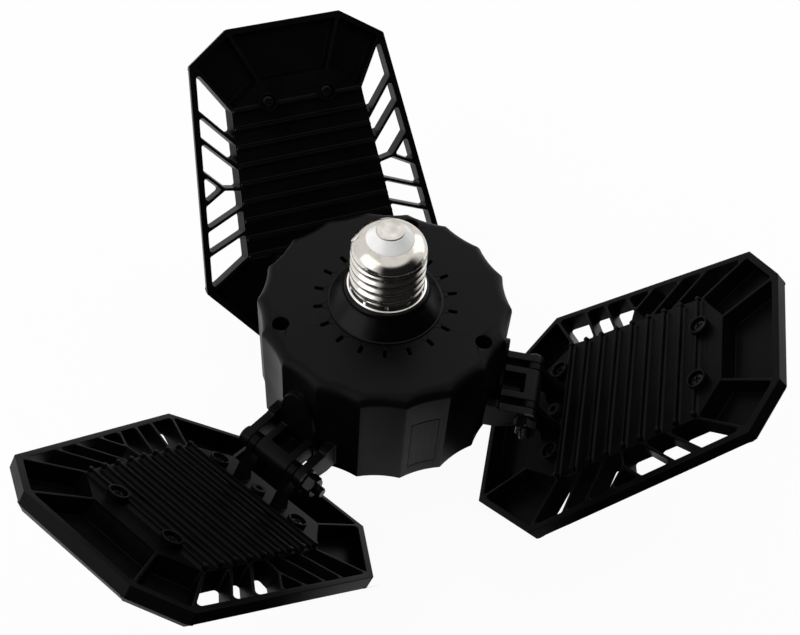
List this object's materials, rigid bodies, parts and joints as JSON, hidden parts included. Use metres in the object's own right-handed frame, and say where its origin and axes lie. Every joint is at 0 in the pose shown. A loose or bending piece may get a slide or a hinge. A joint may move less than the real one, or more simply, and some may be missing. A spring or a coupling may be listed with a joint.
{
  "type": "deformable garage light",
  "caption": "Screw-in garage light with a fluted round hub and finned, slotted light panels that tilt on bolted hinges round its foot.",
  "frame": {"origin": "on the screw cap's axis, where the rim of the cap's shell seats on its holder", "axes": "+Z along the cap's axis, out of its end contact, so the light hangs below in a ceiling socket; one panel points to +Y and the screw cap's front is towards -Y"},
  "size_m": [0.2658, 0.2315, 0.1131],
  "materials": {
    "hub_black": "satin black moulding with a fine grain",
    "holder_black": "glossy black moulding",
    "nickel_shell": "bright nickel-plated sheet",
    "contact_tin": "dull tin-plated contact",
    "insulator_white": "white, slightly glossy insulator",
    "lead_red": "insulated wire",
    "board_green": "circuit board",
    "driver_dark": "dark component bodies",
    "plain_steel": "zinc-plated steel",
    "hardware_black": "black oxide steel",
    "panel_black": "die-cast aluminium with a satin black coat",
    "led_board_white": "white solder mask on an aluminium-core board",
    "led_phosphor": "yellow phosphor over the chips",
    "lens_frosted": "frosted white diffuser",
    "gland_rubber": "black rubber"
  },
  "bodies": {
    "hub": {"hub_housing": "hub_black", "hub_base": "hub_black", "housing_screws": "plain_steel", "side_plug": "hub_black", "cap_holder": "holder_black", "cap_shell": "nickel_shell", "cap_insulator": "insulator_white", "cap_contact": "contact_tin", "cap_leads": "lead_red", "driver_board": "board_green", "board_screws": "plain_steel", "driver_transformer": "driver_dark", "driver_capacitors": "driver_dark", "hinge_bolts": "hardware_black", "hinge_washers": "hardware_black", "hinge_nuts": "hardware_black"},
    "panel_back": {"heatsink_back": "panel_black", "led_board_back": "led_board_white", "led_chips_back": "led_phosphor", "lens_back": "lens_frosted", "lens_screws_back": "hardware_black", "lead_gland_back": "gland_rubber"},
    "panel_left": {"heatsink_left": "panel_black", "led_board_left": "led_board_white", "led_chips_left": "led_phosphor", "lens_left": "lens_frosted", "lens_screws_left": "hardware_black", "lead_gland_left": "gland_rubber"},
    "panel_right": {"heatsink_right": "panel_black", "led_board_right": "led_board_white", "led_chips_right": "led_phosphor", "lens_right": "lens_frosted", "lens_screws_right": "hardware_black", "lead_gland_right": "gland_rubber"}
  },
  "joints": [
    {"name": "panel_back_tilt", "type": "hinge", "parent": "hub", "child": "panel_back", "pos_m": [0, 0.0567, -0.0458], "axis": [1, 0, 0], "range_deg": [-52.4, 37.6]},
    {"name": "panel_left_tilt", "type": "hinge", "parent": "hub", "child": "panel_left", "pos_m": [-0.0491, -0.02835, -0.0458], "axis": [-0.5, 0.866, 0], "range_deg": [-40.9, 49.1]},
    {"name": "panel_right_tilt", "type": "hinge", "parent": "hub", "child": "panel_right", "pos_m": [0.0491, -0.02835, -0.0458], "axis": [-0.5, -0.866, 0], "range_deg": [-47.7, 42.3]}
  ]
}
